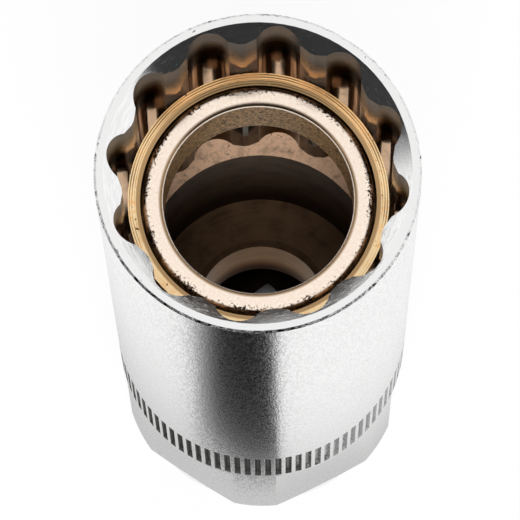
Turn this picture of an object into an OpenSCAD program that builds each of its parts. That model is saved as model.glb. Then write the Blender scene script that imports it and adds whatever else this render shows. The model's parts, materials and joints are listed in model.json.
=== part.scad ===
// Spark plug socket with a twelve-point mouth, a ring magnet in a brass sleeve,
// a knurled band and a wrench hexagon over the square drive.
// Millimetres, standing on the drive end: the base is z = 0 and the mouth is up.

/* [Plug mouth] */
// Width across flats of the spark plug's hexagon
plug_af = 16; // [14:0.1:18]
// Clearance across the flats between the plug and the drive flats
plug_clearance = 0.33; // [0.1:0.01:0.6]
// How far the bored land trims the tips of the ridges
ridge_trim = 0.05; // [0.02:0.01:0.2]
// Radius of the relief groove at each of the twelve points
groove_r = 1.55; // [1.3:0.05:1.7]
// How far each groove reaches past the hexagon's sharp corner
groove_relief = 0.06; // [0.02:0.01:0.3]
// Depth of the flutes below the mouth
flute_depth = 28; // [20:0.5:34]
// Wall left between a groove and the outside of the body
mouth_wall = 0.7; // [0.5:0.05:2]
// Width of the flat end face around the mouth
face_w = 0.58; // [0.3:0.02:0.66]
// Slope of the lead-in cone, from the end face down
lead_angle = 41; // [25:1:50]
// Turn of the flutes about the axis, against the wrench hexagon
flute_turn = -5.4; // [-15:0.1:15]

/* [Body] */
// Overall length
body_len = 64.5; // [60:0.5:90]
// Edge break around the outside of the mouth
mouth_break = 0.15; // [0.05:0.05:0.5]
// Edge break around the outside of the base
base_break = 0.6; // [0.2:0.1:1.5]

/* [Stepped bore] */
// Diameter of the bore that clears the plug's insulator
bore_d = 15.6; // [12:0.1:16.6]
// Depth of that bore below the mouth
bore_depth = 41.3; // [36:0.1:46]
// Diameter of the pilot hole through to the square drive
pilot_d = 9; // [7:0.1:9.4]
// Edge break at the top of the pilot hole
pilot_break = 0.4; // [0.1:0.05:0.8]

/* [Square drive] */
// Width across flats of the square drive hole
drive_af = 9.6; // [9.5:0.05:10]
// Depth of the square drive hole
drive_depth = 15.5; // [10:0.5:17]
// Turn of the square about the axis, against the wrench hexagon
drive_turn = 45; // [0:5:90]
// Depth of the lead-in cone at the drive hole
drive_lead = 0.9; // [0.3:0.1:1.5]
// Radius of the ball of each detent dimple
detent_r = 2.2; // [1.5:0.1:2.5]
// Depth of each detent dimple in its wall
detent_depth = 0.7; // [0.3:0.1:1]
// Height of the detent dimples above the base
detent_z = 5.5; // [4:0.5:7]

/* [Wrench hexagon] */
// Width across flats of the outside hexagon
wrench_af = 19; // [18:0.1:20]
// Height of the hexagon
wrench_h = 13; // [9:0.5:16]

/* [Knurled band] */
// Number of slots around the band
knurl_slots = 88; // [60:1:100]
// Turn of the slots about the axis, against the wrench hexagon
knurl_turn = 1.6; // [0:0.1:6]
// Height of the band
knurl_h = 6.5; // [3:0.5:9]
// Plain strip between the hexagon and the band
knurl_gap = 0.6; // [0.3:0.1:3]
// Width of each slot at the surface
slot_w = 0.44; // [0.3:0.02:0.5]
// Width of each slot at its floor
slot_floor_w = 0.2; // [0.1:0.02:0.28]
// Depth of each slot
slot_depth = 0.3; // [0.1:0.05:0.5]

/* [Brass sleeve] */
// Depth of the sleeve's top below the mouth
sleeve_depth = 7.6; // [5:0.1:12]
// Height of the sleeve
sleeve_h = 6; // [4.5:0.1:10]
// Wall of the sleeve
sleeve_wall = 0.78; // [0.6:0.02:1.2]
// Width of the shallow bevel at the inner top edge of the sleeve
sleeve_bevel = 0.35; // [0.1:0.05:0.5]
// Slope of that bevel
sleeve_bevel_angle = 20; // [10:1:45]
// Radial clearance between the sleeve and the ridges
sleeve_fit = 0.2; // [0.02:0.01:0.3]
// Height of the seat under the magnet
seat_h = 1; // [0.6:0.1:2.5]
// Width of the seat under the magnet
seat_w = 0.6; // [0.4:0.05:1]

/* [Ring magnet] */
// Radial wall of the magnet
magnet_wall = 1.3; // [1:0.05:1.8]
// Radial gap between the magnet and the sleeve
magnet_gap = 0.15; // [0.05:0.05:0.3]
// How far the magnet's crown stands above the sleeve
magnet_proud = 0.1; // [0:0.05:0.5]
// Rounding of the magnet's outer top edge
magnet_round = 0.25; // [0.1:0.05:0.4]
// Width of the arc that falls from the magnet's crown to its bore
crown_w = 0.56; // [0.2:0.02:0.58]
// Radius of that arc
crown_r = 1; // [0.6:0.05:2]

/* [Hidden] */
$fn = 96;
// Overlap of a cutting tool past the surface that it opens
cut = 1;

// Twelve-point section
points = 12;
point_pitch = 360 / points;
drive_half = (plug_af + plug_clearance) / 2;
drive_corner_r = drive_half / cos(30);
ridge_r = drive_half / cos(point_pitch / 2) + ridge_trim;
valley_r = drive_corner_r + groove_relief;
body_r = valley_r + mouth_wall;

// Mouth lead-in cone, from the end face down past the ridges
lead_top_r = body_r - face_w;
lead_low_r = ridge_r - cut;
lead_h = (lead_top_r - lead_low_r) * tan(lead_angle);
lead_over_r = cut / tan(lead_angle);

// Heights above the base
flute_floor_z = body_len - flute_depth;
bore_floor_z = body_len - bore_depth;
sleeve_z = body_len - sleeve_depth - sleeve_h;
knurl_z = wrench_h + knurl_gap;

// Square drive and its detents
drive_corner = drive_af / sqrt(2);
detent_x = drive_af / 2 + detent_depth - detent_r;

// Sleeve and magnet
sleeve_r = ridge_r - sleeve_fit;
sleeve_bore_r = sleeve_r - sleeve_wall;
seat_r = sleeve_bore_r - seat_w;
magnet_r = sleeve_bore_r - magnet_gap;
magnet_bore_r = magnet_r - magnet_wall;
magnet_h = sleeve_h - seat_h + magnet_proud;

// The hexagon of the plug, drawn with its drive clearance
module drive_hexagon() {
    circle(r = drive_corner_r, $fn = 6);
}

// Section of the mouth: two crossed hexagons, the bored ridge tips and a round relief groove at each point
module twelve_point_section() {
    circle(r = ridge_r);
    drive_hexagon();
    rotate(point_pitch) drive_hexagon();
    for (i = [0 : points - 1])
        rotate(i * point_pitch) translate([valley_r - groove_r, 0]) circle(r = groove_r);
}

// Turned outside of the body, with its two edge breaks
module turned_blank() {
    rotate_extrude()
        polygon([
            [0, 0],
            [body_r - base_break, 0],
            [body_r, base_break],
            [body_r, body_len - mouth_break],
            [body_r - mouth_break, body_len],
            [0, body_len]
        ]);
}

// Six cuts that leave the wrench hexagon, with a corner towards the front
module wrench_flats() {
    for (i = [0 : 5])
        rotate(i * 60)
            translate([wrench_af / 2, -body_r, -cut])
                cube([body_r, 2 * body_r, wrench_h + cut]);
}

// Straight knurl: tapered slots side by side around the band
module knurl_cuts() {
    for (i = [0 : knurl_slots - 1])
        rotate(knurl_turn + i * 360 / knurl_slots)
            translate([0, 0, knurl_z])
                linear_extrude(height = knurl_h)
                    polygon([
                        [body_r - slot_depth, -slot_floor_w / 2],
                        [body_r, -slot_w / 2],
                        [body_r + cut, -slot_w / 2],
                        [body_r + cut, slot_w / 2],
                        [body_r, slot_w / 2],
                        [body_r - slot_depth, slot_floor_w / 2]
                    ]);
}

// Flutes with their lead-in cone at the mouth
module mouth_cut() {
    translate([0, 0, flute_floor_z])
        rotate(flute_turn)
            linear_extrude(height = flute_depth + cut) twelve_point_section();
    translate([0, 0, body_len - lead_h])
        cylinder(h = lead_h + cut, r1 = lead_low_r, r2 = lead_top_r + lead_over_r);
}

// Insulator bore and the pilot hole that runs on from it, inside the square, to the base
module bore_cut() {
    translate([0, 0, bore_floor_z]) cylinder(h = bore_depth, d = bore_d);
    translate([0, 0, -cut]) cylinder(h = bore_floor_z + 2 * cut, d = pilot_d);
    translate([0, 0, bore_floor_z - pilot_break])
        cylinder(h = pilot_break + cut, d1 = pilot_d, d2 = pilot_d + 2 * (pilot_break + cut));
}

// Square drive hole with its lead-in cone and four detent dimples
module drive_cut() {
    rotate(drive_turn) {
        translate([-drive_af / 2, -drive_af / 2, -cut]) cube([drive_af, drive_af, drive_depth + cut]);
        translate([0, 0, -cut])
            cylinder(h = drive_lead + cut, r1 = drive_corner + cut, r2 = drive_corner - drive_lead);
        for (i = [0 : 3])
            rotate(i * 90) translate([detent_x, 0, detent_z]) sphere(r = detent_r);
    }
}

module socket_body() {
    color("gainsboro")
        difference() {
            turned_blank();
            wrench_flats();
            knurl_cuts();
            mouth_cut();
            bore_cut();
            drive_cut();
        }
}

module brass_sleeve() {
    color("darkgoldenrod")
        translate([0, 0, sleeve_z])
            rotate_extrude()
                polygon([
                    [seat_r, 0],
                    [sleeve_r, 0],
                    [sleeve_r, sleeve_h],
                    [sleeve_bore_r + sleeve_bevel, sleeve_h],
                    [sleeve_bore_r, sleeve_h - sleeve_bevel * tan(sleeve_bevel_angle)],
                    [sleeve_bore_r, seat_h],
                    [seat_r, seat_h]
                ]);
}

// The chord under the crown's arc belongs to the polygon, and the arc's circle fills out what is above it
module ring_magnet() {
    crown_x = magnet_bore_r + crown_w;
    crown_drop = crown_r - sqrt(crown_r * crown_r - crown_w * crown_w);
    color("rosybrown")
        translate([0, 0, sleeve_z + seat_h])
            rotate_extrude() {
                polygon([
                    [magnet_bore_r, 0],
                    [magnet_r, 0],
                    [magnet_r, magnet_h - magnet_round],
                    [magnet_r - magnet_round, magnet_h],
                    [crown_x, magnet_h],
                    [magnet_bore_r, magnet_h - crown_drop]
                ]);
                translate([magnet_r - magnet_round, magnet_h - magnet_round]) circle(r = magnet_round);
                intersection() {
                    translate([magnet_bore_r, 0]) square([crown_w, magnet_h]);
                    translate([crown_x, magnet_h - crown_r]) circle(r = crown_r);
                }
            }
}

socket_body();
brass_sleeve();
ring_magnet();
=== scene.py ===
"""Finishes, stage and camera for the spark plug socket."""

import json
import math

import bpy
from bpy.props import FloatProperty, FloatVectorProperty, PointerProperty
from mathutils import Matrix, Vector


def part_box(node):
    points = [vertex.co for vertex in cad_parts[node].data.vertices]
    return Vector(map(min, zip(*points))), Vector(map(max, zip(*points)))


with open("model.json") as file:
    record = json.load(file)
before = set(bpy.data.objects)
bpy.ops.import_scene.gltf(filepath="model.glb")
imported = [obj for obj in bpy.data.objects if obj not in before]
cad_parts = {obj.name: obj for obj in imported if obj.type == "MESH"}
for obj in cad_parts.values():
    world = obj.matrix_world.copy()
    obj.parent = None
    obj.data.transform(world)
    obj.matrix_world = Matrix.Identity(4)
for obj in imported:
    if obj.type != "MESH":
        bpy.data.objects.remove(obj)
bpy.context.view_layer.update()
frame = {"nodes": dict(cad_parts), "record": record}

bl_info = {
    "name": "Spark Plug Socket Finish",
    "version": (1, 0, 0),
    "blender": (4, 5, 0),
    "location": "View3D > Sidebar > Socket",
    "description": "Satin chrome, turned brass and plated magnet finishes for a spark plug socket",
    "category": "Material",
}

MM = 0.001

BODY_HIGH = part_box("socket_body")[1]
SLEEVE_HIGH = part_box("brass_sleeve")[1]
MAGNET_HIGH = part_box("ring_magnet")[1]
BODY_R = BODY_HIGH.x
BODY_LEN = BODY_HIGH.z
MOUNTS = {mount["name"]: mount for mount in frame["record"]["mounts"]}

# Steps of the socket body, in metres
FLUTE_FLOOR_Z = BODY_LEN - 28.0 * MM
BORE_FLOOR_Z = BODY_LEN - 41.3 * MM
DRIVE_TOP_Z = 15.5 * MM
KNURL_LOW_Z = 13.6 * MM
KNURL_HIGH_Z = 20.1 * MM
BORE_R = 7.8 * MM

# Limits that sort the body's faces by surface: places in metres, and how far a face's normal points up
END_FACE_MIN_Z = BODY_LEN - 0.05 * MM
MOUTH_MIN_Z = BODY_LEN - 1.6 * MM
MOUTH_FACE_R = BODY_R - 0.35 * MM
FLUTE_MAX_R = BODY_R - 0.6 * MM
PILOT_MAX_R = 5.0 * MM
PILOT_BREAK = 0.5 * MM
DRIVE_MAX_R = 6.9 * MM
SLOT_MIN_R = BODY_R - 0.35 * MM
SLOT_MAX_R = BODY_R - 0.01 * MM
LEVEL = 0.02 * MM
FACE_MIN_UP = 0.95
LEDGE_MIN_UP = 0.9
CONE_MIN_UP, CONE_MAX_UP = 0.4, 0.9
BREAK_MIN_UP = 0.5

# Radii and heights that the finishes are laid out by, in millimetres
BODY_R_MM = BODY_R / MM
MOUTH_MM = BODY_LEN / MM
GROOVE_R_MM = 8.95
BORE_FLOOR_MM = BORE_FLOOR_Z / MM
DRIVE_TOP_MM = DRIVE_TOP_Z / MM
SLEEVE_TOP_MM = SLEEVE_HIGH.z / MM
SLEEVE_BEVEL_DROP_MM = 0.128
MAGNET_TOP_MM = MAGNET_HIGH.z / MM
MAGNET_R_MM = MAGNET_HIGH.x / MM
MAGNET_BORE_R_MM = MOUNTS["magnet_bore"]["dims"]["r_mm"]
MAGNET_CROWN_DROP_MM = 0.172

# Camera, in millimetres of lens, radians and metres
CAMERA_LENS = 351.57
CAMERA_SENSOR = 36.0
CAMERA_TURN = math.radians(4.62)
CAMERA_TILT = math.radians(12.34)
CAMERA_ROLL = math.radians(-1.5)
CAMERA_BACK = 7.1254 * BODY_R
CAMERA_HEIGHT = 30.066 * BODY_R
CAMERA_NEAR, CAMERA_FAR = 0.01, 20
VIEW_TURN = Matrix.Rotation(CAMERA_TURN, 4, "Z")


class SocketFinish(bpy.types.PropertyGroup):
    """Colours and roughness of the socket's own surfaces"""

    chrome: FloatVectorProperty(
        name="Satin chrome", description="Colour of the plated outside",
        subtype="COLOR", size=3, min=0, max=1, default=(0.94, 0.94, 0.935))
    chrome_roughness: FloatProperty(
        name="Chrome roughness", description="Roughness of the satin plating",
        subtype="FACTOR", min=0, max=1, default=0.24)
    # Dark colour inside the knurl's slots; painted light pales it towards the right-hand side
    slot_dark: FloatVectorProperty(
        name="Slot darkness", description="Dark colour inside the knurl's slots",
        subtype="COLOR", size=3, min=0, max=1, default=(0.12, 0.117, 0.112))
    nick: FloatVectorProperty(
        name="Nicks", description="Colour in the nicks of the mouth's outside edge",
        subtype="COLOR", size=3, min=0, max=1, default=(0.035, 0.033, 0.03))
    scratch: FloatVectorProperty(
        name="Scratches", description="Colour in the short scratches of the end face",
        subtype="COLOR", size=3, min=0, max=1, default=(0.25, 0.25, 0.25))
    flute_mouth: FloatVectorProperty(
        name="Flutes at the mouth", description="Colour of the flutes just below the mouth",
        subtype="COLOR", size=3, min=0, max=1, default=(0.21, 0.205, 0.2))
    flute_mouth_glance: FloatVectorProperty(
        name="Mouth at a glance", description="Tint of the flutes just below the mouth, seen along the wall",
        subtype="COLOR", size=3, min=0, max=1, default=(0.5, 0.45, 0.4))
    flute_deep: FloatVectorProperty(
        name="Deep flutes", description="Colour of the bare flutes behind the sleeve",
        subtype="COLOR", size=3, min=0, max=1, default=(0.74, 0.51, 0.35))
    flute_deep_glance: FloatVectorProperty(
        name="Deep flutes at a glance", description="Tint of the bare flutes, seen along the wall",
        subtype="COLOR", size=3, min=0, max=1, default=(0.8, 0.68, 0.56))
    # Painted shade: this colour darkens the grooves below the mouth and turns the flutes black just above
    # the ledge
    flute_shade: FloatVectorProperty(
        name="Flute ends", description="Colour of the painted shade in the grooves and on the flutes just above the ledge",
        subtype="COLOR", size=3, min=0, max=1, default=(0.055, 0.042, 0.032))
    flute_shade_glance: FloatVectorProperty(
        name="Flute ends at a glance", description="Tint of the flutes under painted shade, seen along the wall",
        subtype="COLOR", size=3, min=0, max=1, default=(0.38, 0.35, 0.32))
    ledge: FloatVectorProperty(
        name="Ledge", description="Colour of the ledge at the end of the flutes",
        subtype="COLOR", size=3, min=0, max=1, default=(0.95, 0.61, 0.40))
    bore: FloatVectorProperty(
        name="Bore", description="Colour of the insulator bore's wall",
        subtype="COLOR", size=3, min=0, max=1, default=(0.17, 0.11, 0.07))
    bore_floor: FloatVectorProperty(
        name="Bore floor", description="Colour of the stained floor of the bore",
        subtype="COLOR", size=3, min=0, max=1, default=(0.12, 0.068, 0.037))
    pilot: FloatVectorProperty(
        name="Pilot hole", description="Colour of the pilot hole",
        subtype="COLOR", size=3, min=0, max=1, default=(0.12, 0.08, 0.05))
    pilot_glance: FloatVectorProperty(
        name="Pilot hole at a glance", description="Tint of the pilot hole, seen along the wall",
        subtype="COLOR", size=3, min=0, max=1, default=(0.55, 0.45, 0.38))
    # Painted shade: dimmer tint at the pilot hole's blackened end
    pilot_shade_glance: FloatVectorProperty(
        name="Low pilot hole at a glance",
        description="Tint of the pilot hole's end under painted shade, seen along the wall",
        subtype="COLOR", size=3, min=0, max=1, default=(0.3, 0.25, 0.21))
    brass: FloatVectorProperty(
        name="Brass", description="Colour of the turned sleeve",
        subtype="COLOR", size=3, min=0, max=1, default=(1.0, 0.75, 0.43))
    brass_bevel: FloatVectorProperty(
        name="Brass bevel", description="Colour of the browned bevel at the sleeve's inner edge",
        subtype="COLOR", size=3, min=0, max=1, default=(0.42, 0.26, 0.12))
    # Painted shade: the sleeve's walls below its end are darkened with this colour
    brass_wall_shade: FloatVectorProperty(
        name="Dark brass", description="Colour of the painted shade on the sleeve's walls below its end",
        subtype="COLOR", size=3, min=0, max=1, default=(0.12, 0.07, 0.035))
    # Tarnish, and painted shade at the back of the sleeve's end
    brass_tarnish_and_shade: FloatVectorProperty(
        name="Brass tarnish and shade", description="Colour of the tarnish on the sleeve's end, and of the painted shade at its back",
        subtype="COLOR", size=3, min=0, max=1, default=(1.0, 0.60, 0.27))
    brass_line: FloatVectorProperty(
        name="Turning lines", description="Colour in the turning lines on the sleeve's end",
        subtype="COLOR", size=3, min=0, max=1, default=(0.45, 0.23, 0.08))
    brass_speck: FloatVectorProperty(
        name="Brass specks", description="Colour of the dark specks on the sleeve's end",
        subtype="COLOR", size=3, min=0, max=1, default=(0.10, 0.05, 0.02))
    brass_line_pitch: FloatProperty(
        name="Turning line pitch", description="Spacing of the turning lines on the sleeve",
        subtype="DISTANCE", unit="LENGTH", min=0.02 * MM, max=0.5 * MM, precision=6, default=0.16 * MM)
    magnet: FloatVectorProperty(
        name="Magnet plating", description="Colour of the magnet's plating",
        subtype="COLOR", size=3, min=0, max=1, default=(0.99, 0.86, 0.74))
    magnet_cloud: FloatVectorProperty(
        name="Clouded plating", description="Colour where the magnet's plating is clouded",
        subtype="COLOR", size=3, min=0, max=1, default=(0.94, 0.78, 0.65))
    magnet_rim: FloatVectorProperty(
        name="Magnet rim", description="Colour of the worn outer rim of the magnet",
        subtype="COLOR", size=3, min=0, max=1, default=(0.55, 0.36, 0.2))
    # Painted shade on the magnet's inner shoulder
    magnet_shoulder_shade: FloatVectorProperty(
        name="Magnet shoulder", description="Colour of the painted shade on the inner shoulder of the magnet",
        subtype="COLOR", size=3, min=0, max=1, default=(0.3, 0.19, 0.1))
    magnet_stain: FloatVectorProperty(
        name="Magnet stain", description="Colour where the magnet's plating is stained",
        subtype="COLOR", size=3, min=0, max=1, default=(0.05, 0.028, 0.018))
    magnet_bore: FloatVectorProperty(
        name="Magnet bore", description="Colour of the speckled wall of the magnet's bore",
        subtype="COLOR", size=3, min=0, max=1, default=(0.82, 0.52, 0.26))


class SocketStage(bpy.types.PropertyGroup):
    """Floor, light and camera"""

    floor: FloatVectorProperty(
        name="Floor", description="Colour of the floor",
        subtype="COLOR", size=3, min=0, max=1, default=(0.92, 0.92, 0.92))
    surround: FloatProperty(
        name="Surround", description="Brightness of the studio as it shows in metal",
        min=0, max=2, default=1.0)
    fill: FloatProperty(
        name="Fill light", description="Brightness of the studio as it lights matt surfaces",
        min=0, max=2, default=0.3)
    camera_height: FloatProperty(
        name="Camera height", description="Height of the camera above the mouth",
        subtype="DISTANCE", unit="LENGTH", min=0.05, max=2, default=CAMERA_HEIGHT)


def material_tree(name):
    """A new node material with a bare Principled shader; returns the material, its tree and the shader."""
    material = bpy.data.materials.new(name)
    material.use_nodes = True
    tree = material.node_tree
    shader = next(n for n in tree.nodes if n.type == "BSDF_PRINCIPLED")
    return material, tree, shader


def feed(tree, socket, value):
    """Links value to socket if it is another node's output, and otherwise sets it."""
    if isinstance(value, bpy.types.NodeSocket):
        tree.links.new(value, socket)
    else:
        socket.default_value = value


def math_node(tree, operation, *values):
    """Output of a Math node."""
    node = tree.nodes.new("ShaderNodeMath")
    node.operation = operation
    for socket, value in zip(node.inputs, values):
        feed(tree, socket, value)
    return node.outputs[0]


def times(tree, first, second):
    """Product of two values."""
    return math_node(tree, "MULTIPLY", first, second)


def highest(tree, first, second):
    """The greater of two values."""
    return math_node(tree, "MAXIMUM", first, second)


def straight_line(tree, value, slope, start):
    """Value that goes from start, at 0, by slope."""
    return math_node(tree, "MULTIPLY_ADD", value, slope, start)


def ramp_between(tree, value, low, high):
    """0 where value is under low, 1 where it is over high, and smooth between them."""
    node = tree.nodes.new("ShaderNodeMapRange")
    node.interpolation_type = "SMOOTHSTEP"
    feed(tree, node.inputs["Value"], value)
    node.inputs["From Min"].default_value = low
    node.inputs["From Max"].default_value = high
    return node.outputs["Result"]


def mix_colour(tree, factor, first, second):
    """Colour that goes from first to second."""
    node = tree.nodes.new("ShaderNodeMix")
    node.data_type = "RGBA"
    feed(tree, node.inputs["Factor"], factor)
    for socket, colour in ((node.inputs["A"], first), (node.inputs["B"], second)):
        feed(tree, socket, colour if isinstance(colour, bpy.types.NodeSocket) else (*colour, 1))
    return node.outputs["Result"]


def shade(colour, share):
    """A colour at a share of its brightness."""
    return [channel * share for channel in colour]


def position_mm(tree):
    """Place on the part, in millimetres."""
    coords = tree.nodes.new("ShaderNodeTexCoord")
    scale = tree.nodes.new("ShaderNodeVectorMath")
    scale.operation = "SCALE"
    scale.inputs["Scale"].default_value = 1 / MM
    tree.links.new(coords.outputs["Object"], scale.inputs[0])
    return scale.outputs[0]


def separate(tree, position):
    """The three values of a vector."""
    node = tree.nodes.new("ShaderNodeSeparateXYZ")
    tree.links.new(position, node.inputs[0])
    return node.outputs


def combine(tree, x, y, z):
    """Vector from three values."""
    node = tree.nodes.new("ShaderNodeCombineXYZ")
    for socket, value in zip(node.inputs, (x, y, z)):
        feed(tree, socket, value)
    return node.outputs[0]


def around_axis(tree, position):
    """Radius, arc angle and height about the socket's axis."""
    x, y, z = separate(tree, position)
    squares = math_node(tree, "ADD", times(tree, x, x), times(tree, y, y))
    return math_node(tree, "SQRT", squares), math_node(tree, "ARCTAN2", y, x), z


def unrolled(tree, axis, along_share=1.0, height_share=1.0):
    """Place on the unrolled wall, with a share of the way round and of the height for long grain."""
    radius, angle, height = axis
    along = times(tree, angle, along_share * BODY_R_MM)
    return combine(tree, along, radius, times(tree, height, height_share))


def ringed(tree, axis, radius_share, height_share):
    """Place drawn out into rings round the axis."""
    radius, angle, height = axis
    return combine(tree, times(tree, radius, radius_share), angle, times(tree, height, height_share))


def noise(tree, vector, scale, detail=3.0, roughness=0.55):
    """Noise value, with its scale per millimetre."""
    node = tree.nodes.new("ShaderNodeTexNoise")
    tree.links.new(vector, node.inputs["Vector"])
    node.inputs["Scale"].default_value = scale
    node.inputs["Detail"].default_value = detail
    node.inputs["Roughness"].default_value = roughness
    return node.outputs["Fac"]


BEVEL_SAMPLES = 6


def bump(tree, shader, height, depth_mm, strength, edge_mm=0.0):
    """Bumps a shader's surface by a height from 0 to 1 over depth_mm, on edges rounded by edge_mm."""
    node = tree.nodes.new("ShaderNodeBump")
    node.inputs["Strength"].default_value = strength
    node.inputs["Distance"].default_value = depth_mm * MM
    tree.links.new(height, node.inputs["Height"])
    if edge_mm:
        rounded = tree.nodes.new("ShaderNodeBevel")
        rounded.samples = BEVEL_SAMPLES
        rounded.inputs["Radius"].default_value = edge_mm * MM
        tree.links.new(rounded.outputs["Normal"], node.inputs["Normal"])
    tree.links.new(node.outputs["Normal"], shader.inputs["Normal"])


def roughness_between(tree, shader, value, low, high):
    """Roughness from low to high as value goes from 0 to 1."""
    node = tree.nodes.new("ShaderNodeMapRange")
    feed(tree, node.inputs["Value"], value)
    node.inputs["To Min"].default_value = low
    node.inputs["To Max"].default_value = high
    tree.links.new(node.outputs["Result"], shader.inputs["Roughness"])


# In the finishes below, a RANGE is of noise values, a SHADE is a share of a colour's brightness, and lengths
# are millimetres
MIDDLE_RANGE = (0.35, 0.65)

SATIN_HEIGHT_SHARE = 0.25
SATIN_SHADE = 0.94
SATIN_ROUGHNESS_SPREAD = 0.05


def satin_chrome(look):
    """Plated outside: a fine satin grain."""
    material, tree, shader = material_tree("satin_chrome_outside")
    shader.inputs["Metallic"].default_value = 1
    place = unrolled(tree, around_axis(tree, position_mm(tree)), height_share=SATIN_HEIGHT_SHARE)
    grain = noise(tree, place, scale=8.5, detail=1.5)
    satin = ramp_between(tree, grain, *MIDDLE_RANGE)
    colour = mix_colour(tree, satin, look.chrome, shade(look.chrome, SATIN_SHADE))
    feed(tree, shader.inputs["Base Color"], colour)
    roughness_between(tree, shader, satin, low=look.chrome_roughness - SATIN_ROUGHNESS_SPREAD,
                      high=look.chrome_roughness + SATIN_ROUGHNESS_SPREAD)
    bump(tree, shader, grain, depth_mm=0.012, strength=0.8, edge_mm=0.06)
    return material


FACE_SHADE = 0.91
FACE_LINES_PER_MM = 14
FACE_MARKS_START_R, FACE_MARKS_FULL_R = BODY_R_MM - 0.45, BODY_R_MM - 0.1
FACE_MARK_ALONG_SHARE = 0.35
FACE_MARK_EDGE_BONUS = 0.06
FACE_MARK_RANGE = (0.7, 0.74)


def ground_face(look):
    """End face round the mouth: ground bright, with faint turning lines and scratches near its edge."""
    material, tree, shader = material_tree("ground_end_face")
    shader.inputs["Metallic"].default_value = 1
    axis = around_axis(tree, position_mm(tree))
    lines = noise(tree, ringed(tree, axis, FACE_LINES_PER_MM, height_share=1), scale=1.0, detail=2)
    near_edge = ramp_between(tree, axis[0], FACE_MARKS_START_R, FACE_MARKS_FULL_R)
    marks = noise(tree, unrolled(tree, axis, FACE_MARK_ALONG_SHARE), scale=3.2, detail=4)
    edge_marks = straight_line(tree, near_edge, FACE_MARK_EDGE_BONUS, marks)
    scratched = ramp_between(tree, edge_marks, *FACE_MARK_RANGE)
    colour = mix_colour(tree, scratched, shade(look.chrome, FACE_SHADE), look.scratch)
    feed(tree, shader.inputs["Base Color"], colour)
    roughness_between(tree, shader, lines, low=0.08, high=0.15)
    bump(tree, shader, lines, depth_mm=0.004, strength=0.5)
    return material


# Sine of the angle about the axis where the front's extra nicks start, and where they are full
NICK_FRONT = (-0.3, -0.9)
NICK_FRONT_BONUS = 0.08
NICK_RANGE = (0.62, 0.68)


def worn_edge(look):
    """Outside edge of the mouth: plated, uneven, with small dark nicks that are thickest at the front."""
    material, tree, shader = material_tree("worn_mouth_edge")
    shader.inputs["Metallic"].default_value = 1
    axis = around_axis(tree, position_mm(tree))
    dents = noise(tree, unrolled(tree, axis), scale=1.6, detail=5)
    front = ramp_between(tree, math_node(tree, "SINE", axis[1]), *NICK_FRONT)
    nicks = ramp_between(tree, straight_line(tree, front, NICK_FRONT_BONUS, dents), *NICK_RANGE)
    feed(tree, shader.inputs["Base Color"], mix_colour(tree, nicks, look.chrome, look.nick))
    shader.inputs["Roughness"].default_value = 0.2
    bump(tree, shader, dents, depth_mm=0.3, strength=0.9)
    return material


# Angles about the axis between which the slots take painted light from the right-hand side, each with its
# fade
LIT_SIDE_START = (math.radians(-85), math.radians(-45))
LIT_SIDE_END = (math.radians(60), math.radians(20))
LIT_SIDE_BONUS = 0.5
LIGHT_AND_SMEAR_RANGE = (0.6, 0.95)
LIGHT_AND_SMEAR_SHADE = 0.6


def knurl_slot(look):
    """Slots of the knurl: dark inside, with painted light that pales them towards the right-hand side."""
    material, tree, shader = material_tree("knurl_slots")
    position = position_mm(tree)
    angle = around_axis(tree, position)[1]
    # Painted light on the right-hand side of the slots, broken up by random smears
    painted_light_side = times(tree, ramp_between(tree, angle, *LIT_SIDE_START), ramp_between(tree, angle, *LIT_SIDE_END))
    smears = noise(tree, position, scale=2.5)
    painted_light_and_smears = ramp_between(tree, straight_line(tree, painted_light_side, LIT_SIDE_BONUS, smears), *LIGHT_AND_SMEAR_RANGE)
    colour = mix_colour(tree, painted_light_and_smears, look.slot_dark, shade(look.chrome, LIGHT_AND_SMEAR_SHADE))
    feed(tree, shader.inputs["Base Color"], colour)
    shader.inputs["Metallic"].default_value = 0.5
    shader.inputs["Roughness"].default_value = 0.45
    bump(tree, shader, smears, depth_mm=0.01, strength=0.4)
    return material


GRAIN_ALONG_SHARE = 0.7
STREAK_ALONG_SHARE = 0.12
STREAK_SHADE = 0.9
SCORE_ALONG_SHARE = 0.2
SCORE_RANGE = (0.5, 0.75)


def machined_lead_in(look):
    """Cone at the mouth: fine machined grain with turning streaks and duller scored lines."""
    material, tree, shader = material_tree("machined_lead_in")
    shader.inputs["Metallic"].default_value = 1
    axis = around_axis(tree, position_mm(tree))
    grain = noise(tree, unrolled(tree, axis, GRAIN_ALONG_SHARE), scale=12.0)
    streaks = noise(tree, unrolled(tree, axis, STREAK_ALONG_SHARE), scale=6.0)
    scores = noise(tree, unrolled(tree, axis, SCORE_ALONG_SHARE), scale=9.0, detail=2)
    streaked = ramp_between(tree, streaks, *MIDDLE_RANGE)
    colour = mix_colour(tree, streaked, shade(look.chrome, STREAK_SHADE), look.chrome)
    feed(tree, shader.inputs["Base Color"], colour)
    roughness_between(tree, shader, ramp_between(tree, scores, *SCORE_RANGE), low=0.08, high=0.28)
    bump(tree, shader, grain, depth_mm=0.006, strength=0.6)
    return material


# Depths below the mouth over which the flutes turn bronze and bare, the grooves take painted shade and lose
# it, and painted shade turns the flutes black
FLUTE_BRONZE = (3.5, 9.0)
FLUTE_BARE = (1.5, 4.5)
GROOVE_SHADE_START = (1.5, 3.5)
GROOVE_SHADE_END = (7.5, 6.0)
FLUTE_BLACK_SHADE = (17.0, 22.0)
FLUTE_STAIN_REACH = 2.0
FLUTE_STAIN_RANGE = (0.4, 0.85)
FLUTE_STAIN_SHADE = 0.5
DRAWN_HEIGHT_SHARE = 0.1

# Radii over which a groove takes painted shade, and over which a ridge is rubbed
GROOVE_BLEND = (GROOVE_R_MM - 0.2, GROOVE_R_MM + 0.2)
RIDGE_BLEND = (GROOVE_R_MM - 0.05, GROOVE_R_MM - 0.25)
RIDGE_RUB = 0.45
FLUTE_DULL_METALLIC = 0.4


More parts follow.
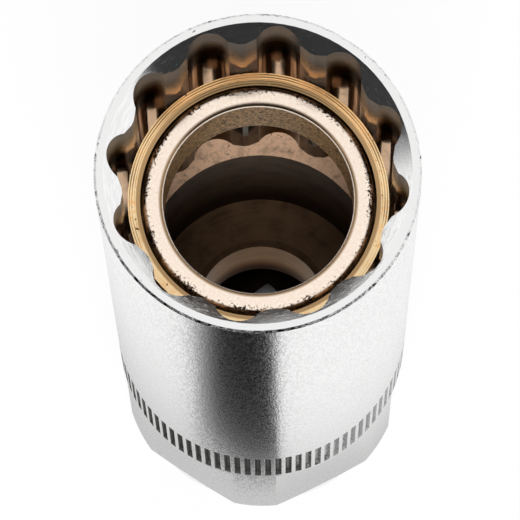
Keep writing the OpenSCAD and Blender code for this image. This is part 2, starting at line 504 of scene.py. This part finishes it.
def bare_flutes(look):
    """Flutes: dull at the mouth, then bare bronze-tinted steel with drawn lines and rubbed ridges, with
    painted shade that darkens the grooves and turns the flutes black just above the ledge."""
    material, tree, shader = material_tree("bare_flutes")
    axis = around_axis(tree, position_mm(tree))
    radius, _, height = axis
    drawn = noise(tree, unrolled(tree, axis, height_share=DRAWN_HEIGHT_SHARE), scale=4.0)
    stain = noise(tree, unrolled(tree, axis), scale=0.9, detail=4)
    depth = math_node(tree, "SUBTRACT", MOUTH_MM, height)
    deep = ramp_between(tree, straight_line(tree, stain, FLUTE_STAIN_REACH, depth), *FLUTE_BRONZE)
    # Painted shade: darker grooves below the mouth, and black flutes just above the ledge
    shade_band = times(tree, ramp_between(tree, depth, *GROOVE_SHADE_START), ramp_between(tree, depth, *GROOVE_SHADE_END))
    painted_groove_shade = times(tree, ramp_between(tree, radius, *GROOVE_BLEND), shade_band)
    black = highest(tree, ramp_between(tree, depth, *FLUTE_BLACK_SHADE), painted_groove_shade)
    tint = mix_colour(tree, deep, look.flute_mouth, look.flute_deep)
    stained = mix_colour(tree, ramp_between(tree, stain, *FLUTE_STAIN_RANGE), tint,
                         shade(look.flute_deep, FLUTE_STAIN_SHADE))
    feed(tree, shader.inputs["Base Color"], mix_colour(tree, black, stained, look.flute_shade))
    glance = mix_colour(tree, deep, look.flute_mouth_glance, look.flute_deep_glance)
    feed(tree, shader.inputs["Specular Tint"], mix_colour(tree, black, glance, look.flute_shade_glance))
    unrubbed = straight_line(tree, ramp_between(tree, radius, *RIDGE_BLEND), -RIDGE_RUB, 1.0)
    bare = times(tree, ramp_between(tree, depth, *FLUTE_BARE), unrubbed)
    metallic = straight_line(tree, bare, 1 - FLUTE_DULL_METALLIC, FLUTE_DULL_METALLIC)
    feed(tree, shader.inputs["Metallic"], metallic)
    roughness_between(tree, shader, deep, low=0.3, high=0.1)
    bump(tree, shader, drawn, depth_mm=0.006, strength=0.4, edge_mm=0.05)
    return material


MOTTLE_RANGE = (0.45, 0.7)
MOTTLE_SHADE = 0.55
LEDGE_SPECK_RANGE = (0.62, 0.7)
LEDGE_SPECK_SHADE = 0.4


def copper_ledge(look):
    """Ledge at the end of the flutes: matt, mottled copper colour."""
    material, tree, shader = material_tree("copper_ledge")
    position = position_mm(tree)
    mottle = noise(tree, position, scale=1.4, detail=6, roughness=0.7)
    specks = ramp_between(tree, noise(tree, position, scale=5.0), *LEDGE_SPECK_RANGE)
    mottled = mix_colour(tree, ramp_between(tree, mottle, *MOTTLE_RANGE), look.ledge,
                         shade(look.ledge, MOTTLE_SHADE))
    colour = mix_colour(tree, specks, mottled, shade(look.ledge, LEDGE_SPECK_SHADE))
    feed(tree, shader.inputs["Base Color"], colour)
    shader.inputs["Metallic"].default_value = 0.2
    roughness_between(tree, shader, mottle, low=0.55, high=0.75)
    bump(tree, shader, mottle, depth_mm=0.03, strength=0.5)
    return material


DRILL_LINES_PER_MM = 4
DRILL_LINE_SHADE = 0.5
DRILL_ROUGHNESS_SPREAD = 0.15
BORE_STAIN_RANGE = (0.35, 0.75)
BORE_STAIN_SHADE = 1.25
# Share of a drilled wall's colour left at the black end of its painted shade
PAINTED_SHADE_SHARE = 0.15
# Share of the bore's colour left in the square drive by its painted shade
DRIVE_PAINTED_SHADE = 0.4

# Heights over which the bore's wall and the pilot hole go from black painted shade to bare
BORE_SHADE_FADE = (BORE_FLOOR_MM + 1.0, BORE_FLOOR_MM + 7.0)
PILOT_SHADE_FADE = (DRIVE_TOP_MM + 0.3, DRIVE_TOP_MM + 4.0)


def drilled_wall(name, colour, roughness):
    """Inside of the bore, with drilling lines round the axis and stains; returns what material_tree does."""
    material, tree, shader = material_tree(name)
    position = position_mm(tree)
    rings = ringed(tree, around_axis(tree, position), DRILL_LINES_PER_MM, DRILL_LINES_PER_MM)
    lines = noise(tree, rings, scale=1.0)
    lined = ramp_between(tree, lines, *MIDDLE_RANGE)
    drilled = mix_colour(tree, lined, shade(colour, DRILL_LINE_SHADE), colour)
    blotches = noise(tree, position, scale=0.7, detail=5, roughness=0.65)
    stains = ramp_between(tree, blotches, *BORE_STAIN_RANGE)
    stained = mix_colour(tree, stains, shade(colour, BORE_STAIN_SHADE), drilled)
    feed(tree, shader.inputs["Base Color"], stained)
    roughness_between(tree, shader, lines, low=roughness, high=roughness + DRILL_ROUGHNESS_SPREAD)
    bump(tree, shader, lines, depth_mm=0.01, strength=0.5)
    return material, tree, shader


def paint_shade_low(tree, shader, colour, heights):
    """Blackens a drilled wall below two heights with painted shade; returns how far the wall is free of it.
    """
    bare = ramp_between(tree, around_axis(tree, position_mm(tree))[2], *heights)
    drilled = shader.inputs["Base Color"].links[0].from_socket
    feed(tree, shader.inputs["Base Color"], mix_colour(tree, bare, shade(colour, PAINTED_SHADE_SHARE), drilled))
    return bare


def drilled_bore(look):
    """Wall of the insulator bore: dull brown steel, with painted shade that blackens it towards its floor.
    """
    material, tree, shader = drilled_wall("drilled_bore", look.bore, roughness=0.45)
    shader.inputs["Metallic"].default_value = 0.3
    shader.inputs["Specular IOR Level"].default_value = 0.3
    paint_shade_low(tree, shader, look.bore, BORE_SHADE_FADE)
    return material


def bore_floor(look):
    """Floor of the insulator bore: dull brown steel."""
    material, _, shader = drilled_wall("bore_floor", look.bore_floor, roughness=0.5)
    shader.inputs["Specular IOR Level"].default_value = 0.2
    return material


def pilot_hole(look):
    """Pilot hole: bare brown steel, with painted shade that blackens it towards the drive hole."""
    material, tree, shader = drilled_wall("pilot_hole", look.pilot, roughness=0.25)
    shader.inputs["Metallic"].default_value = 1
    bare = paint_shade_low(tree, shader, look.pilot, PILOT_SHADE_FADE)
    glance = mix_colour(tree, bare, look.pilot_shade_glance, look.pilot_glance)
    feed(tree, shader.inputs["Specular Tint"], glance)
    return material


def square_drive(look):
    """Square drive: painted shade makes it black inside."""
    material, _, shader = drilled_wall("square_drive", shade(look.bore, DRIVE_PAINTED_SHADE), roughness=0.6)
    shader.inputs["Specular IOR Level"].default_value = 0
    return material


# Depths below the sleeve's top over which its bevel starts and painted shade darkens its walls
BEVEL_START = (0.01, 0.05)
SLEEVE_WALL_SHADE_START = (SLEEVE_BEVEL_DROP_MM + 0.02, SLEEVE_BEVEL_DROP_MM + 0.12)

# Sine of the angle about the axis where the painted shade at the back starts, and where it is full
BACK_SHADE_SPAN = (0.1, 0.9)
TARNISH_RANGE = (0.42, 0.75)
BRASS_SPECK_RANGE = (0.67, 0.71)
LINE_WOBBLE = 0.6
LINE_SHARE = 0.15
LINE_BACK_SHADE_BONUS = 0.2


def turned_brass(look):
    """Sleeve: brass with fine turning lines, a few specks, and painted shade at its back and on its walls.
    """
    material, tree, shader = material_tree("turned_brass_sleeve")
    shader.inputs["Metallic"].default_value = 0.75
    position = position_mm(tree)
    radius, angle, height = around_axis(tree, position)
    pitch = look.brass_line_pitch / MM
    wobble = times(tree, noise(tree, position, scale=0.4, detail=2), LINE_WOBBLE * pitch)
    phase = times(tree, math_node(tree, "ADD", radius, wobble), 2 * math.pi / pitch)
    lines = straight_line(tree, math_node(tree, "SINE", phase), 0.5, 0.5)
    tarnish = ramp_between(tree, noise(tree, position, scale=2.5, detail=5), *TARNISH_RANGE)
    specks = ramp_between(tree, noise(tree, position, scale=4.0), *BRASS_SPECK_RANGE)
    # Painted shade at the back, which also deepens the turning lines there
    back_shade = ramp_between(tree, math_node(tree, "SINE", angle), *BACK_SHADE_SPAN)
    golden = mix_colour(tree, highest(tree, tarnish, back_shade), look.brass, look.brass_tarnish_and_shade)
    line_share = times(tree, lines, straight_line(tree, back_shade, LINE_BACK_SHADE_BONUS, LINE_SHARE))
    lined = mix_colour(tree, line_share, golden, look.brass_line)
    specked = mix_colour(tree, specks, lined, look.brass_speck)
    below = math_node(tree, "SUBTRACT", SLEEVE_TOP_MM, height)
    bevelled = mix_colour(tree, ramp_between(tree, below, *BEVEL_START), specked, look.brass_bevel)
    # Painted shade on the walls below the sleeve's end
    shaded_walls = ramp_between(tree, below, *SLEEVE_WALL_SHADE_START)
    feed(tree, shader.inputs["Base Color"], mix_colour(tree, shaded_walls, bevelled, look.brass_wall_shade))
    roughness_between(tree, shader, tarnish, low=0.09, high=0.15)
    bump(tree, shader, lines, depth_mm=0.006, strength=0.7)
    return material


# Radii over which the magnet's rim, its specks, painted shade on its inner shoulder and a painted glint on
# its inner edge come in
RIM_BLEND = (MAGNET_R_MM - 0.1, MAGNET_R_MM + 0.02)
RIM_RAGGED = 0.25
RIM_SHARE = 0.8
OUTER_SPECKS = (MAGNET_R_MM - 0.7, MAGNET_R_MM - 0.24)
INNER_SPECKS = (MAGNET_BORE_R_MM + 0.16, MAGNET_BORE_R_MM + 0.02)
SHOULDER_SHADE_BLEND = (MAGNET_BORE_R_MM + 0.34, MAGNET_BORE_R_MM + 0.14)
PAINTED_GLINT = (MAGNET_BORE_R_MM + 0.07, MAGNET_BORE_R_MM + 0.05)

# Depths below the magnet's top where the painted glint on its inner edge ends and its bore starts
PAINTED_GLINT_END = (MAGNET_CROWN_DROP_MM + 0.04, MAGNET_CROWN_DROP_MM + 0.02)
MAGNET_BORE_START = (MAGNET_CROWN_DROP_MM + 0.02, MAGNET_CROWN_DROP_MM + 0.06)

PATCH_RANGE = (0.4, 0.6)
PATCH_SHARE = 0.5
CLOUD_RANGE = (0.35, 0.6)
SPECK_WORN_BONUS = 0.19
SPECK_RANGE = (0.66, 0.70)
SPECK_DULL_SHARE = 0.5
BORE_SPECK_RANGE = (0.42, 0.62)
MATT_METALLIC = 0.2


def plated_magnet(look):
    """Ring magnet: clouded rose plating with dark specks along its edges, a worn rim, painted shade on its
    inner shoulder, a painted glint on its inner edge, and a speckled brown bore."""
    material, tree, shader = material_tree("plated_ring_magnet")
    position = position_mm(tree)
    radius, _, height = around_axis(tree, position)
    below = math_node(tree, "SUBTRACT", MAGNET_TOP_MM, height)
    speckle = noise(tree, position, scale=5.0, detail=6, roughness=0.72)
    patches = ramp_between(tree, noise(tree, position, scale=0.45, detail=2), *PATCH_RANGE)
    patchy = straight_line(tree, patches, 1 - PATCH_SHARE, PATCH_SHARE)
    outer = times(tree, ramp_between(tree, radius, *OUTER_SPECKS), patchy)
    worn = highest(tree, outer, ramp_between(tree, radius, *INNER_SPECKS))
    stained = ramp_between(tree, straight_line(tree, worn, SPECK_WORN_BONUS, speckle), *SPECK_RANGE)
    rim = ramp_between(tree, straight_line(tree, speckle, RIM_RAGGED, radius), *RIM_BLEND)
    clouded = mix_colour(tree, ramp_between(tree, speckle, *CLOUD_RANGE), look.magnet, look.magnet_cloud)
    rimmed = mix_colour(tree, times(tree, rim, RIM_SHARE), clouded, look.magnet_rim)
    # Painted shade on the inner shoulder
    plated = mix_colour(tree, ramp_between(tree, radius, *SHOULDER_SHADE_BLEND), rimmed, look.magnet_shoulder_shade)
    specked = mix_colour(tree, stained, plated, look.magnet_stain)
    # Painted glint: a thin ring of plating colour on the inner edge, made matt so that the lamps light it
    edge = times(tree, ramp_between(tree, radius, *PAINTED_GLINT), ramp_between(tree, below, *PAINTED_GLINT_END))
    glinted = mix_colour(tree, edge, specked, look.magnet)
    bore_specks = ramp_between(tree, speckle, *BORE_SPECK_RANGE)
    brown = mix_colour(tree, bore_specks, look.magnet_bore, look.magnet_stain)
    in_bore = ramp_between(tree, below, *MAGNET_BORE_START)
    feed(tree, shader.inputs["Base Color"], mix_colour(tree, in_bore, glinted, brown))
    metallic = straight_line(tree, highest(tree, in_bore, edge), MATT_METALLIC - 1, 1.0)
    feed(tree, shader.inputs["Metallic"], metallic)
    dull = highest(tree, times(tree, stained, SPECK_DULL_SHARE), in_bore)
    roughness_between(tree, shader, dull, low=0.12, high=0.42)
    bump(tree, shader, speckle, depth_mm=0.01, strength=0.4, edge_mm=0.22)
    return material


FINISHES = {
    "chrome": satin_chrome,
    "face": ground_face,
    "edge": worn_edge,
    "lead_in": machined_lead_in,
    "flutes": bare_flutes,
    "ledge": copper_ledge,
    "bore": drilled_bore,
    "bore_floor": bore_floor,
    "pilot": pilot_hole,
    "drive": square_drive,
    "slot": knurl_slot,
}


def surface_of(radius, z, normal_z):
    """Which finish a face of the body takes, from its middle's radius and height and its normal."""
    if z > END_FACE_MIN_Z and normal_z > FACE_MIN_UP:
        return "face"
    if z > MOUTH_MIN_Z and CONE_MIN_UP < normal_z < CONE_MAX_UP:
        return "edge" if radius > MOUTH_FACE_R else "lead_in"
    if z > FLUTE_FLOOR_Z + LEVEL and radius < FLUTE_MAX_R:
        return "flutes"
    if abs(z - FLUTE_FLOOR_Z) <= LEVEL and normal_z > LEDGE_MIN_UP:
        return "ledge"
    if BORE_FLOOR_Z - PILOT_BREAK < z <= BORE_FLOOR_Z + LEVEL and normal_z > BREAK_MIN_UP:
        return "bore_floor"
    if z > BORE_FLOOR_Z - LEVEL and radius < BORE_R + LEVEL:
        return "bore"
    if z > DRIVE_TOP_Z + LEVEL and radius < PILOT_MAX_R:
        return "pilot"
    if z > LEVEL and radius < DRIVE_MAX_R:
        return "drive"
    if KNURL_LOW_Z - LEVEL < z < KNURL_HIGH_Z + LEVEL and SLOT_MIN_R < radius < SLOT_MAX_R:
        return "slot"
    return "chrome"


def dress(node, *materials):
    """Gives a CAD node its materials; returns its mesh."""
    mesh = frame["nodes"][node].data
    mesh.materials.clear()
    for material in materials:
        mesh.materials.append(material)
    return mesh


class SOCKET_OT_finish_body(bpy.types.Operator):
    """Gives each surface of the socket body its own finish"""

    bl_idname = "socket.finish_body"
    bl_label = "Finish Socket Body"

    def execute(self, context):
        look = context.scene.socket_finish
        mesh = dress("socket_body", *(finish(look) for finish in FINISHES.values()))
        slots = list(FINISHES)
        for polygon in mesh.polygons:
            middle = polygon.center
            radius = math.hypot(middle.x, middle.y)
            polygon.material_index = slots.index(surface_of(radius, middle.z, polygon.normal.z))
        return {"FINISHED"}


class SOCKET_OT_finish_sleeve(bpy.types.Operator):
    """Gives the brass sleeve its turned finish"""

    bl_idname = "socket.finish_sleeve"
    bl_label = "Finish Brass Sleeve"

    def execute(self, context):
        dress("brass_sleeve", turned_brass(context.scene.socket_finish))
        return {"FINISHED"}


class SOCKET_OT_finish_magnet(bpy.types.Operator):
    """Gives the ring magnet its plated finish"""

    bl_idname = "socket.finish_magnet"
    bl_label = "Finish Ring Magnet"

    def execute(self, context):
        dress("ring_magnet", plated_magnet(context.scene.socket_finish))
        return {"FINISHED"}


# Dark curtain in front of the socket: swing from the front to each end, how far each end fades, and its
# distance and height in metres
CURTAIN_LEFT = math.radians(-110)
CURTAIN_RIGHT = math.radians(68)
CURTAIN_LEFT_FADE = math.radians(25)
CURTAIN_RIGHT_FADE = math.radians(18)
CURTAIN_STEPS = 32
CURTAIN_REACH = 0.32
CURTAIN_HEIGHT = 0.36
CLOTH_LEVEL = 0.06

# Dark canopy that runs up from the curtain to just past the point overhead, in metres, and how far
# ahead of the socket it fades in, in millimetres
CANOPY_HALF = 0.35
CANOPY_RISE = 0.5
CANOPY_TOP_Z = BODY_LEN + CANOPY_RISE
CANOPY_BACK = CANOPY_RISE * math.tan(math.radians(1))
CANOPY_FADE = (60.0, 235.0)

# Dark cards on the floor in front and behind: corners in millimetres as seen from each card's own side,
# slants over which their sides fade, distance over which their near edges fade, height in metres and level
FRONT_CARD = ((1.4, -12.0), (4.9, -33.0), (17.7, -110.0), (-120.0, -110.0), (-34.0, -30.0), (-8.0, -12.0))
FRONT_CARD_FADES = ((-1.3, -0.4),)
BACK_CARD = ((6.0, -14.0), (45.0, -110.0), (-45.0, -110.0), (-6.0, -14.0))
BACK_CARD_FADES = ((-0.4, -0.1), (0.4, 0.1))
CARD_NEAR_FADE = (12.0, 14.5)
CARD_Z = 0.3 * MM
CARD_LEVEL = 0.01

# Floor: half its width in metres, the share of its white that doesn't depend on the lamps, and the radius
# inside which it is hidden under the socket, in millimetres
FLOOR_HALF = 3.0
FLOOR_WHITE_SHARE = 0.92
FLOOR_HIDDEN_R_MM = 0.95 * BODY_R_MM

# Painted contact shadow on the floor as metal shows it, where the socket stands: reach and shift in
# millimetres
CONTACT_SHADOW_REACH = 8.5
CONTACT_SHADOW_SHIFT = (-1.5, -1.0, 0)
CONTACT_SHADOW_LEVEL = 0.58

# Painted shade that greys the floor as metal shows it, far from the socket: radii in millimetres
FLOOR_SHADE_FALLOFF = (35.0, 140.0)
FLOOR_FAR_SHADE_LEVEL = 0.72

# Square lamps over the front and over the top: place and width in metres, and radiance
KEY_LAMP = {"place": (0.05, -0.5, 1.08), "width": 0.35, "radiance": 26.0}
TOP_LAMP = {"place": (0, -0.08, 1.15), "width": 0.2, "radiance": 16.0}
LAMP_AIM = (0, 0, BODY_LEN)


def link(thing):
    """Puts an object into the scene."""
    bpy.context.collection.objects.link(thing)


def stage_panel(name, corners, faces, material):
    """A panel of the stage."""
    mesh = bpy.data.meshes.new(name)
    mesh.from_pydata(corners, [], faces)
    mesh.materials.append(material)
    panel = bpy.data.objects.new(name, mesh)
    link(panel)
    return panel


def plane(name, corners, material):
    """A flat panel from its corners."""
    return stage_panel(name, corners, [range(len(corners))], material)


def floor_level_in_metal(tree):
    """Brightness of the floor as metal shows it: painted contact shadow round the base, painted shade far
    away, white under it.
    """
    position = position_mm(tree)
    radius = around_axis(tree, position)[0]
    shifted = tree.nodes.new("ShaderNodeVectorMath")
    shifted.operation = "SUBTRACT"
    tree.links.new(position, shifted.inputs[0])
    shifted.inputs[1].default_value = CONTACT_SHADOW_SHIFT
    contact_shadow_radius = around_axis(tree, shifted.outputs[0])[0]
    # Painted contact shadow round the base, shifted to the left and front
    away = ramp_between(tree, contact_shadow_radius, BODY_R_MM, BODY_R_MM + CONTACT_SHADOW_REACH)
    contact_shadow = straight_line(tree, away, 1 - CONTACT_SHADOW_LEVEL, CONTACT_SHADOW_LEVEL)
    # Painted shade far from the socket
    far_shade = straight_line(tree, ramp_between(tree, radius, *FLOOR_SHADE_FALLOFF), FLOOR_FAR_SHADE_LEVEL - 1, 1)
    under = math_node(tree, "LESS_THAN", radius, DRIVE_MAX_R / MM)
    return highest(tree, times(tree, contact_shadow, far_shade), under)


def floor_material(colour):
    """Pale floor that shows white, keeps the socket's shadow and has a painted shadow in metal close to the
    base.
    """
    material = bpy.data.materials.new("pale_floor")
    material.use_nodes = True
    tree = material.node_tree
    tree.nodes.clear()
    output = tree.nodes.new("ShaderNodeOutputMaterial")
    mix = tree.nodes.new("ShaderNodeMixShader")
    matte = tree.nodes.new("ShaderNodeBsdfDiffuse")
    white = tree.nodes.new("ShaderNodeEmission")
    matte.inputs["Color"].default_value = (*colour, 1)
    path = tree.nodes.new("ShaderNodeLightPath")
    radius = around_axis(tree, position_mm(tree))[0]
    open_floor = math_node(tree, "GREATER_THAN", radius, FLOOR_HIDDEN_R_MM)
    shown = times(tree, path.outputs["Is Camera Ray"], open_floor)
    mirrored = highest(tree, path.outputs["Is Glossy Ray"], path.outputs["Is Transmission Ray"])
    level = highest(tree, shown, times(tree, mirrored, floor_level_in_metal(tree)))
    tree.links.new(level, white.inputs["Strength"])
    tree.links.new(times(tree, highest(tree, shown, mirrored), FLOOR_WHITE_SHARE), mix.inputs["Fac"])
    tree.links.new(matte.outputs[0], mix.inputs[1])
    tree.links.new(white.outputs[0], mix.inputs[2])
    tree.links.new(mix.outputs[0], output.inputs["Surface"])
    return material


def flag_material(name, level):
    """Black cloth or card of the studio's flags; returns what material_tree does."""
    material, tree, shader = material_tree(name)
    shader.inputs["Base Color"].default_value = (level, level, level, 1)
    shader.inputs["Roughness"].default_value = 1
    shader.inputs["Specular IOR Level"].default_value = 0
    return material, tree, shader


def ahead_of_socket(tree):
    """Sideways place and distance ahead of the socket's axis, in millimetres."""
    x, y, _ = separate(tree, position_mm(tree))
    return x, times(tree, y, -1)


def card_material(name, fades):
    """Black floor card that fades out across the slants of its sides and towards the socket."""
    material, tree, shader = flag_material(name, CARD_LEVEL)
    sideways, ahead = ahead_of_socket(tree)
    slant = math_node(tree, "DIVIDE", sideways, ahead)
    cover = ramp_between(tree, ahead, *CARD_NEAR_FADE)
    for fade in fades:
        cover = times(tree, cover, ramp_between(tree, slant, *fade))
    tree.links.new(cover, shader.inputs["Alpha"])
    return material


def curtain_material():
    """Black cloth that fades out towards its two ends."""
    material, tree, shader = flag_material("black_curtain", CLOTH_LEVEL)
    swing = math_node(tree, "ARCTAN2", *ahead_of_socket(tree))
    left = ramp_between(tree, swing, CURTAIN_LEFT, CURTAIN_LEFT + CURTAIN_LEFT_FADE)
    right = ramp_between(tree, swing, CURTAIN_RIGHT, CURTAIN_RIGHT - CURTAIN_RIGHT_FADE)
    tree.links.new(times(tree, left, right), shader.inputs["Alpha"])
    return material


def canopy_material():
    """Black cloth that fades out towards its back edge."""
    material, tree, shader = flag_material("black_canopy", CLOTH_LEVEL)
    ahead = ahead_of_socket(tree)[1]
    tree.links.new(ramp_between(tree, ahead, *CANOPY_FADE), shader.inputs["Alpha"])
    return material


def turn_flag(flag, turn=0.0):
    """Turns a flag about the axis, from the camera's side, and lets it show only in metal."""
    flag.matrix_world = VIEW_TURN @ Matrix.Rotation(turn, 4, "Z")
    flag.visible_camera = False
    flag.visible_diffuse = False
    flag.visible_shadow = False
    flag.visible_transmission = False


def floor_card(name, corners, fades, turn):
    """Dark card on the floor."""
    places = [(x * MM, y * MM, CARD_Z) for x, y in corners]
    turn_flag(plane(name, places, card_material(name, fades)), turn)


def curtain():
    """Dark curtain that stands round the front of the socket."""
    step = (CURTAIN_RIGHT - CURTAIN_LEFT) / CURTAIN_STEPS
    swings = [CURTAIN_LEFT + step * i for i in range(CURTAIN_STEPS + 1)]
    feet = [(CURTAIN_REACH * math.sin(a), -CURTAIN_REACH * math.cos(a)) for a in swings]
    corners = [(x, y, z) for x, y in feet for z in (0, CURTAIN_HEIGHT)]
    faces = [(2 * i, 2 * i + 2, 2 * i + 3, 2 * i + 1) for i in range(CURTAIN_STEPS)]
    turn_flag(stage_panel("front_curtain", corners, faces, curtain_material()))


def canopy():
    """Dark canopy over the front of the socket."""
    low = [(side, -CURTAIN_REACH, CURTAIN_HEIGHT) for side in (-CANOPY_HALF, CANOPY_HALF)]
    high = [(side, CANOPY_BACK, CANOPY_TOP_Z) for side in (CANOPY_HALF, -CANOPY_HALF)]
    turn_flag(plane("canopy", low + high, canopy_material()))


def softbox(name, place, width, radiance):
    """Square area lamp turned to the mouth; metal shows the surround instead of it."""
    data = bpy.data.lights.new(name, "AREA")
    data.shape = "SQUARE"
    data.size = width
    data.energy = radiance * math.pi * width * width
    lamp = bpy.data.objects.new(name, data)
    lamp.location = place
    lamp.visible_glossy = False
    lamp.rotation_euler = (Vector(LAMP_AIM) - Vector(place)).to_track_quat("-Z", "Y").to_euler()
    link(lamp)


def studio_world(surround, fill):
    """Even pale surround, with one level for what metal shows and one for what lights matt surfaces."""
    world = bpy.data.worlds.new("studio")
    world.use_nodes = True
    tree = world.node_tree
    background = tree.nodes["Background"]
    background.inputs["Color"].default_value = (1, 1, 1, 1)
    path = tree.nodes.new("ShaderNodeLightPath")
    shown = highest(tree, path.outputs["Is Camera Ray"], path.outputs["Is Glossy Ray"])
    shown = highest(tree, shown, path.outputs["Is Transmission Ray"])
    tree.links.new(straight_line(tree, shown, surround - fill, fill), background.inputs["Strength"])
    bpy.context.scene.world = world


def camera_above(height):
    """Camera at the photograph's angle, above and in front of the mouth."""
    data = bpy.data.cameras.new("camera")
    data.lens = CAMERA_LENS
    data.sensor_width = CAMERA_SENSOR
    data.clip_start = CAMERA_NEAR
    data.clip_end = CAMERA_FAR
    camera = bpy.data.objects.new("camera", data)
    place = VIEW_TURN @ Vector((0, -CAMERA_BACK, BODY_LEN + height))
    camera.matrix_world = (Matrix.Translation(place) @ VIEW_TURN @ Matrix.Rotation(CAMERA_TILT, 4, "X")
                           @ Matrix.Rotation(CAMERA_ROLL, 4, "Z"))
    link(camera)
    bpy.context.scene.camera = camera


class SOCKET_OT_stage(bpy.types.Operator):
    """Sets the floor, the light, the flags and the camera"""

    bl_idname = "socket.stage"
    bl_label = "Set Stage"

    def execute(self, context):
        stage = context.scene.socket_stage
        f = FLOOR_HALF
        plane("floor", [(-f, -f, 0), (f, -f, 0), (f, f, 0), (-f, f, 0)], floor_material(stage.floor))
        curtain()
        canopy()
        floor_card("front_card", FRONT_CARD, FRONT_CARD_FADES, turn=0)
        floor_card("back_card", BACK_CARD, BACK_CARD_FADES, turn=math.pi)
        softbox("key_softbox", **KEY_LAMP)
        softbox("top_softbox", **TOP_LAMP)
        studio_world(stage.surround, stage.fill)
        camera_above(stage.camera_height)
        context.scene.view_settings.view_transform = "Standard"
        return {"FINISHED"}


class SOCKET_PT_panel(bpy.types.Panel):
    """Finishes and stage of the socket"""

    bl_idname = "SOCKET_PT_panel"
    bl_label = "Spark Plug Socket"
    bl_space_type = "VIEW_3D"
    bl_region_type = "UI"
    bl_category = "Socket"

    def draw(self, context):
        for operator in OPERATORS:
            self.layout.operator(operator.bl_idname)
        for group in (context.scene.socket_finish, context.scene.socket_stage):
            for name in group.__annotations__:
                self.layout.prop(group, name)


OPERATORS = (SOCKET_OT_finish_body, SOCKET_OT_finish_sleeve, SOCKET_OT_finish_magnet, SOCKET_OT_stage)
CLASSES = (SocketFinish, SocketStage, *OPERATORS, SOCKET_PT_panel)


def register():
    for cls in CLASSES:
        bpy.utils.register_class(cls)
    bpy.types.Scene.socket_finish = PointerProperty(type=SocketFinish)
    bpy.types.Scene.socket_stage = PointerProperty(type=SocketStage)


def unregister():
    del bpy.types.Scene.socket_stage
    del bpy.types.Scene.socket_finish
    for cls in reversed(CLASSES):
        bpy.utils.unregister_class(cls)


def main():
    register()
    bpy.ops.socket.finish_body()
    bpy.ops.socket.finish_sleeve()
    bpy.ops.socket.finish_magnet()
    bpy.ops.socket.stage()


if __name__ == "__main__":
    main()
